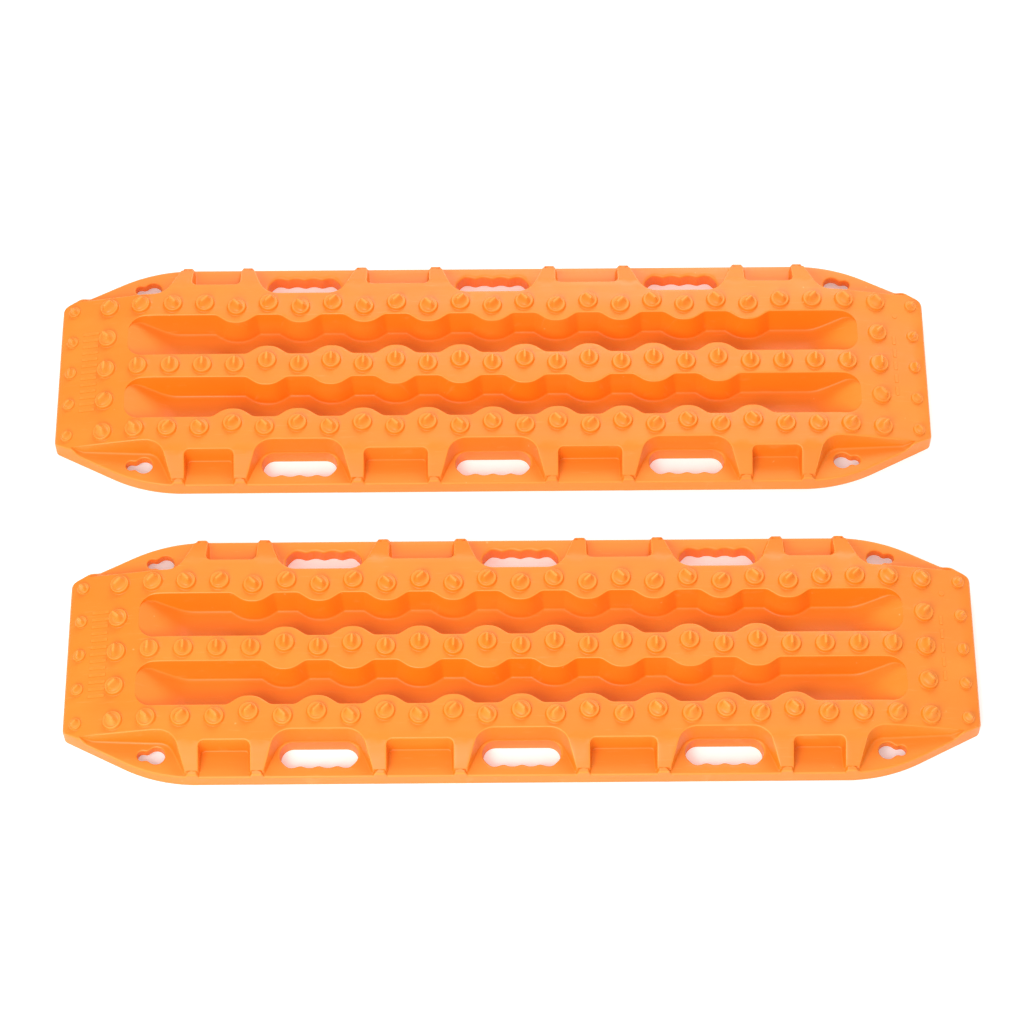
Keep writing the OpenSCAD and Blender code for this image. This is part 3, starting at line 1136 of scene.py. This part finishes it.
    def _underside(self) -> None:
        """Mould the inner face of the skin, one wall thickness inside, and the lips' outer sides."""
        form, skin = self.form, self.skin
        top, side, floor = form.under(form.top), form.under(self.flange), form.under(self.floor)
        inner_deck = [replace(c, top=1.0, foot=min(c.foot, 1.5) * 0.8)
                      for c in shifted(self.deck, -form.wall)]
        deck_rim, deck_foot = self.wall(Outline.rounded(inner_deck), top, side, Fall.OUTWARDS,
                                        wear_and_highlight=0.0)
        channel = Outline.rounded([replace(c, top=1.0, foot=3.0)
                                   for c in shifted(self.channel, form.wall)])
        rims = []
        for way in (1, -1):
            rim, foot = self.wall(channel.mirrored(1, way), top, floor, Fall.INWARDS, wear_and_highlight=0.0)
            skin.fill([foot], floor, self.floor_under_grid)
            rims.append(rim)
        skin.fill([deck_rim, *rims], top, self.under_grid)
        edge = [replace(c, top=1.2) for c in shifted(self.edge, -self.edge_gap - form.wall)]
        edge_rim, edge_foot = self.wall(Outline.rounded(edge), side, self.ground, Fall.OUTWARDS, False, 0.0)
        slots = [self.wall(s, side, self.ground, Fall.INWARDS, False, 0.0)
                 for s in self._slots(self.openings.slot_lip())]
        lip = self.openings.keyhole(self.openings.key_wall, self.openings.lip_round)
        keys = [self.wall(k, side, self.key_floor, Fall.INWARDS, False, 0.0) for k in self._keyholes(lip)]
        skin.fill([edge_rim, deck_foot, *[s[0] for s in slots], *[k[0] for k in keys]], side,
                  self.under_grid)
        skin.fill([self.edge_foot, edge_foot], self.ground, self.flat_grid)
        for inner, outer in zip(self.slot_feet, slots):
            skin.fill([outer[1], inner], self.ground, self.flat_grid)
        for inner, outer in zip(self.key_feet, keys):
            skin.fill([outer[1], inner], self.key_floor, self.flat_grid)

    def _ribs(self) -> None:
        """Add a rib under every second column of studs."""
        for i in range(-self.studs.last, self.studs.last + 1, 2):
            self._rib(i * self.studs.pitch)

    def _rib(self, x: float) -> None:
        """Add one rib across the underside.

        Its upper edge runs inside the skin: under the deck, down the channel walls and under their
        floors. Its lower edge is level, and comes down to the ground under the channels.

        Args:
            x: The rib's place along the mat.
        """
        form, channels, inside = self.form, self.channels, self.form.wall / 2
        inner, outer = channels.inner, channels.outer
        deck_z = float(form.top(np.array([[x, 0.0]]))[0]) - inside
        floor_z = float(self.floor(np.array([[x, (inner + outer) / 2]]))[0]) - inside
        if abs(x) <= (self.studs.lobe_reach + 0.5) * self.studs.pitch:
            outer -= channels.lobe
        slant = math.tan(math.radians(Corner.lean)) * (deck_z - floor_z)
        wall_y, low = form.deck_y - inside, self.rib_low
        if abs(x) < form.half - channels.end - self.rib_clear:
            near, far = inner - inside, outer + inside
            half = [(0.0, deck_z, low), (near, deck_z, low), (near + self.rib_step, deck_z, 0.0),
                    (near + slant, floor_z, 0.0), (far - slant, floor_z, 0.0),
                    (far - self.rib_step, deck_z, 0.0), (far, deck_z, low), (wall_y, deck_z, low),
                    (wall_y + 2 * inside, form.flange - inside, low)]
        else:
            half = [(0.0, deck_z, low), (wall_y, deck_z, low), (wall_y + inside, form.flange - inside, low)]
        line = np.array([(-y, upper, lower) for y, upper, lower in reversed(half[1:])] + half)
        numbers = []
        for dx in (-self.rib_half, self.rib_half):
            along = np.full(len(line), x + dx)
            numbers.append([self.skin.add(np.column_stack([along, line[:, 0], line[:, k]])) for k in (1, 2)])
        (front_top, front_low), (back_top, back_low) = numbers
        for first, second in ((front_top, front_low), (back_low, back_top),
                              (back_top, front_top), (front_low, back_low)):
            self.skin.loft(first, second, closed=False)
        for end in (0, -1):
            self.skin.quads.append(np.array([[front_top[end], front_low[end], back_low[end], back_top[end]]]))


class Nodes:
    """Short calls that add a material's nodes and join them."""

    def __init__(self, material: bpy.types.Material) -> None:
        """Take the material's node tree."""
        material.use_nodes = True
        self.tree = material.node_tree
        self.shader = self.tree.nodes["Principled BSDF"]
        self.place = self.add("ShaderNodeTexCoord").outputs["Object"]

    def add(self, kind: str, **inputs: object) -> bpy.types.Node:
        """Add a node of a kind and set its inputs.

        Args:
            kind: Blender's name for the node.
            inputs: Values or other nodes' outputs by input name, with _ for a space.

        Returns:
            The node.
        """
        node = self.tree.nodes.new(kind)
        for name, value in inputs.items():
            self.put(value, node.inputs[name.replace("_", " ")])
        return node

    def put(self, value: object, socket: bpy.types.NodeSocket) -> None:
        """Set an input to a value, or link another node's output to it.

        Args:
            value: The value or the output.
            socket: The input.
        """
        if isinstance(value, bpy.types.NodeSocket):
            self.tree.links.new(value, socket)
        else:
            socket.default_value = value

    def noise(self, scale: float | tuple[float, float, float], detail: float) -> bpy.types.NodeSocket:
        """Add a noise pattern on Object coordinates.

        Args:
            scale: Waves to the metre, the same every way or along X, Y and Z.
            detail: Number of finer layers.

        Returns:
            The pattern, from 0 to 1.
        """
        if isinstance(scale, tuple):
            laid = self.add("ShaderNodeMapping", Vector=self.place, Scale=scale).outputs["Vector"]
            return self.add("ShaderNodeTexNoise", Vector=laid, Scale=1.0, Detail=detail).outputs[0]
        return self.add("ShaderNodeTexNoise", Vector=self.place, Scale=scale, Detail=detail).outputs[0]

    def span(self, value: bpy.types.NodeSocket, start: float, end: float,
             low: float, high: float) -> bpy.types.NodeSocket:
        """Map a value from one span to another, held between its ends.

        Args:
            value: The value.
            start: Value that becomes low.
            end: Value that becomes high.
            low: Result at the start.
            high: Result at the end.

        Returns:
            The result.
        """
        node = self.add("ShaderNodeMapRange", Value=value, From_Min=start, From_Max=end,
                        To_Min=low, To_Max=high)
        return node.outputs["Result"]

    def times(self, first: bpy.types.NodeSocket, second: bpy.types.NodeSocket) -> bpy.types.NodeSocket:
        """Multiply two values.

        Args:
            first: One value.
            second: The other value.

        Returns:
            Their product.
        """
        node = self.add("ShaderNodeMath")
        node.operation = "MULTIPLY"
        self.put(first, node.inputs[0])
        self.put(second, node.inputs[1])
        return node.outputs[0]

    def blend(self, share: bpy.types.NodeSocket, first: object, second: object) -> bpy.types.NodeSocket:
        """Mix two colours.

        Args:
            share: Share of the second colour, from 0 to 1.
            first: A colour or another node's output.
            second: A colour or another node's output.

        Returns:
            The mixed colour.
        """
        node = self.add("ShaderNodeMix")
        node.data_type = "RGBA"
        colours = [s for s in node.inputs if s.type == "RGBA"]
        self.put(share, node.inputs[0])
        self.put(first, colours[0])
        self.put(second, colours[1])
        return next(s for s in node.outputs if s.type == "RGBA")

    def bump(self, height: bpy.types.NodeSocket, depth: float,
             under: bpy.types.NodeSocket | None = None) -> bpy.types.NodeSocket:
        """Raise the surface by a pattern.

        Args:
            height: The pattern, from 0 to 1.
            depth: Height of the bumps, in metres.
            under: Another bump that this one lies on.

        Returns:
            The bent normal.
        """
        node = self.add("ShaderNodeBump", Height=height, Distance=depth, Strength=1.0)
        if under is not None:
            self.put(under, node.inputs["Normal"])
        return node.outputs["Normal"]


@dataclass(frozen=True)
class Moulding:
    """Orange moulded plastic: fine grain, faint flow marks, and edges and nibs made lighter by edge wear and
    painted highlight.

    Grain, blotch, flow, scuff and chips are pattern scales in waves to the metre, and depths are in
    metres. Each share is the most of its own colour that a pattern lays over what lies under it.
    """

    name: str
    colour: tuple[float, float, float, float] = (0.90, 0.232, 0.0065, 1.0)
    deep: tuple[float, float, float, float] = (0.86, 0.198, 0.0045, 1.0)
    # Lighter orange for flow marks, and for edges and nibs as edge wear and painted highlight.
    rubbed_and_highlight: tuple[float, float, float, float] = (0.96, 0.335, 0.042, 1.0)
    dusty: tuple[float, float, float, float] = (0.95, 0.38, 0.095, 1.0)
    smooth: float = 0.42
    rough: float = 0.60
    specular: float = 0.56
    grain: float = 620.0
    blotch: float = 9.0
    flow: tuple[float, float, float] = (3.0, 26.0, 26.0)
    scuff: tuple[float, float, float] = (38.0, 420.0, 38.0)
    chips: float = 130.0
    grain_depth: float = 0.00005
    flow_depth: float = 0.0006
    # Most of the lighter orange laid on edges and nibs: edge wear and painted highlight.
    wear_and_highlight_share: float = 0.8
    blotch_share: float = 0.5
    flow_share: float = 0.16
    scuff_share: float = 0.35
    grain_share: float = 0.10
    chip_share: float = 0.8

    def make(self) -> bpy.types.Material:
        """Build the material from patterns on Object coordinates and the mesh's point attribute of edge wear
        and painted highlight.

        Returns:
            The material.
        """
        material = bpy.data.materials.new(self.name)
        nodes = Nodes(material)
        grain, blotch = nodes.noise(self.grain, 2.0), nodes.noise(self.blotch, 4.0)
        flow, scuff = nodes.noise(self.flow, 3.0), nodes.noise(self.scuff, 5.0)
        # Edges and nibs are lightened towards the lighter orange, patchy with the blotch pattern: edge wear
        # and painted highlight.
        edge = nodes.add("ShaderNodeAttribute")
        edge.attribute_name = "edge_wear_and_highlight"
        edge_wear_and_highlight_mask = nodes.span(edge.outputs["Fac"], 0.25, 1.0, 0.0, self.wear_and_highlight_share)
        patchy_wear_and_highlight = nodes.times(edge_wear_and_highlight_mask, nodes.span(blotch, 0.3, 0.6, 0.5, 1.0))
        tint = nodes.blend(nodes.span(blotch, 0.35, 0.65, 0.0, self.blotch_share), self.colour, self.deep)
        tint = nodes.blend(nodes.span(flow, 0.5, 0.72, 0.0, self.flow_share), tint, self.rubbed_and_highlight)
        tint = nodes.blend(nodes.span(scuff, 0.62, 0.80, 0.0, self.scuff_share), tint, self.dusty)
        tint = nodes.blend(nodes.span(grain, 0.40, 0.62, self.grain_share, 0.0), tint, self.deep)
        # Lay on the edge wear and painted highlight.
        tint = nodes.blend(patchy_wear_and_highlight, tint, self.rubbed_and_highlight)
        chipped = nodes.span(nodes.noise(self.chips, 1.0), 0.80, 0.83, 0.0, self.chip_share)
        tint = nodes.blend(chipped, tint, self.dusty)
        nodes.put(tint, nodes.shader.inputs["Base Color"])
        nodes.put(nodes.span(flow, 0.35, 0.65, self.smooth, self.rough), nodes.shader.inputs["Roughness"])
        nodes.put(nodes.bump(grain, self.grain_depth, nodes.bump(flow, self.flow_depth)),
                  nodes.shader.inputs["Normal"])
        nodes.shader.inputs["Specular IOR Level"].default_value = self.specular
        return material


def hold(mesh: bpy.types.Mesh, name: str, node: str,
         material: bpy.types.Material) -> bpy.types.Object:
    """Make a piece of a mesh, dress it and let it ride on its body.

    Args:
        mesh: The finished mesh, in place.
        name: Name of the piece.
        node: The CAD node that it stands for, which is also its body's name.
        material: Its finish.

    Returns:
        The piece.
    """
    piece = bpy.data.objects.new(name, mesh)
    bpy.context.scene.collection.objects.link(piece)
    mesh.materials.append(material)
    mesh.polygons.foreach_set("use_smooth", np.ones(len(mesh.polygons), bool))
    mesh.set_sharp_from_angle(angle=math.radians(SHARP))
    weighted = piece.modifiers.new("weighted_normals", "WEIGHTED_NORMAL")
    weighted.mode = "FACE_AREA"
    weighted.weight = NORMAL_WEIGHT
    weighted.keep_sharp = True
    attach(piece, node)
    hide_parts(node)
    LOG.info("%s: %d points, %d faces", name, len(mesh.vertices), len(mesh.polygons))
    return piece


@dataclass(frozen=True)
class SoftLamp:
    """A rectangular lamp that hangs at a place and faces the mats."""

    name: str
    place: tuple[float, float, float]
    size: tuple[float, float]
    power: float

    def hang(self) -> None:
        """Add the lamp to the scene."""
        lamp = bpy.data.lights.new(self.name, "AREA")
        lamp.shape = "RECTANGLE"
        lamp.size, lamp.size_y = self.size
        lamp.energy = self.power
        hung = bpy.data.objects.new(self.name, lamp)
        hung.location = self.place
        hung.rotation_euler = (-Vector(self.place)).to_track_quat("-Z", "Y").to_euler()
        bpy.context.scene.collection.objects.link(hung)


@dataclass(frozen=True)
class Studio:
    """Pale floor, soft light and the camera.

    Angles are in degrees, places in metres and the lens in millimetres.
    """

    focal_length: float = 117.09
    sensor: float = 36.0
    target: tuple[float, float, float] = (0.00657, -0.01708, 0.05)
    distance: float = 3.9430
    sight: float = 50.0
    elevation: float = 61.435
    azimuth: float = -0.200
    roll: float = -0.610
    sky: float = 0.62
    floor_half: float = 8.0
    floor_drop: float = 0.0006
    floor_grey: float = 0.9
    floor_glow: float = 0.28
    floor_roughness: float = 0.9
    lamps: tuple[SoftLamp, ...] = (
        SoftLamp("front_lamp", (-1.0, -2.15, 2.35), (2.0, 1.6), 78.0),
        SoftLamp("back_lamp", (0.6, 2.4, 2.2), (2.4, 1.2), 58.0))

    def camera(self) -> None:
        """Aim the camera: forwards from azimuth and elevation, then rolled about that line."""
        az, el, roll = (math.radians(v) for v in (self.azimuth, self.elevation, self.roll))
        ahead = Vector((math.sin(az) * math.cos(el), math.cos(az) * math.cos(el), -math.sin(el)))
        right = Vector((math.cos(az), -math.sin(az), 0.0))
        up = right.cross(ahead)
        side = right * math.cos(roll) + up * math.sin(roll)
        top = up * math.cos(roll) - right * math.sin(roll)
        lens = bpy.data.cameras.new("camera")
        lens.lens = self.focal_length
        lens.sensor_width = self.sensor
        lens.clip_end = self.sight
        seen = bpy.data.objects.new("camera", lens)
        turn = Matrix((side, top, -ahead)).transposed().to_4x4()
        seen.matrix_world = Matrix.Translation(Vector(self.target) - ahead * self.distance) @ turn
        bpy.context.scene.collection.objects.link(seen)
        bpy.context.scene.camera = seen

    def floor(self) -> None:
        """Lay a plain pale floor that glows faintly, so that no deep shade is left in the holes."""
        h, z = self.floor_half, -self.floor_drop
        mesh = bpy.data.meshes.new("floor")
        mesh.from_pydata([(-h, -h, z), (h, -h, z), (h, h, z), (-h, h, z)], [], [(0, 1, 2, 3)])
        ground = bpy.data.objects.new("floor", mesh)
        bpy.context.scene.collection.objects.link(ground)
        paint = bpy.data.materials.new("floor")
        paint.use_nodes = True
        shader = paint.node_tree.nodes["Principled BSDF"]
        shader.inputs["Base Color"].default_value = (*(self.floor_grey,) * 3, 1.0)
        shader.inputs["Roughness"].default_value = self.floor_roughness
        shader.inputs["Emission Color"].default_value = (1.0, 1.0, 1.0, 1.0)
        shader.inputs["Emission Strength"].default_value = self.floor_glow
        mesh.materials.append(paint)

    def light(self) -> None:
        """Hang the soft lamps under a pale sky."""
        world = bpy.data.worlds.new("sky")
        world.use_nodes = True
        sky = world.node_tree.nodes["Background"]
        sky.inputs["Color"].default_value = (1.0, 1.0, 1.0, 1.0)
        sky.inputs["Strength"].default_value = self.sky
        bpy.context.scene.world = world
        for lamp in self.lamps:
            lamp.hang()
        bpy.context.scene.view_settings.view_transform = "Standard"


def main() -> None:
    """Build the mats and the studio."""
    logging.basicConfig(level=logging.INFO, format="%(message)s")
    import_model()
    studio = Studio()
    studio.camera()
    studio.floor()
    studio.light()
    mat = TractionMat()
    mat.build()
    for side in ("front", "rear"):
        low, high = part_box(f"mat_{side}")
        place = np.array([(low.x + high.x) / 2, (low.y + high.y) / 2, 0.0])
        mesh = mat.skin.mesh(f"mat_{side}_moulding", place)
        finish = Moulding(f"moulding_{side}").make()
        piece = hold(mesh, f"mat_{side}_moulding", f"mat_{side}", finish)


if __name__ == "__main__":
    main()
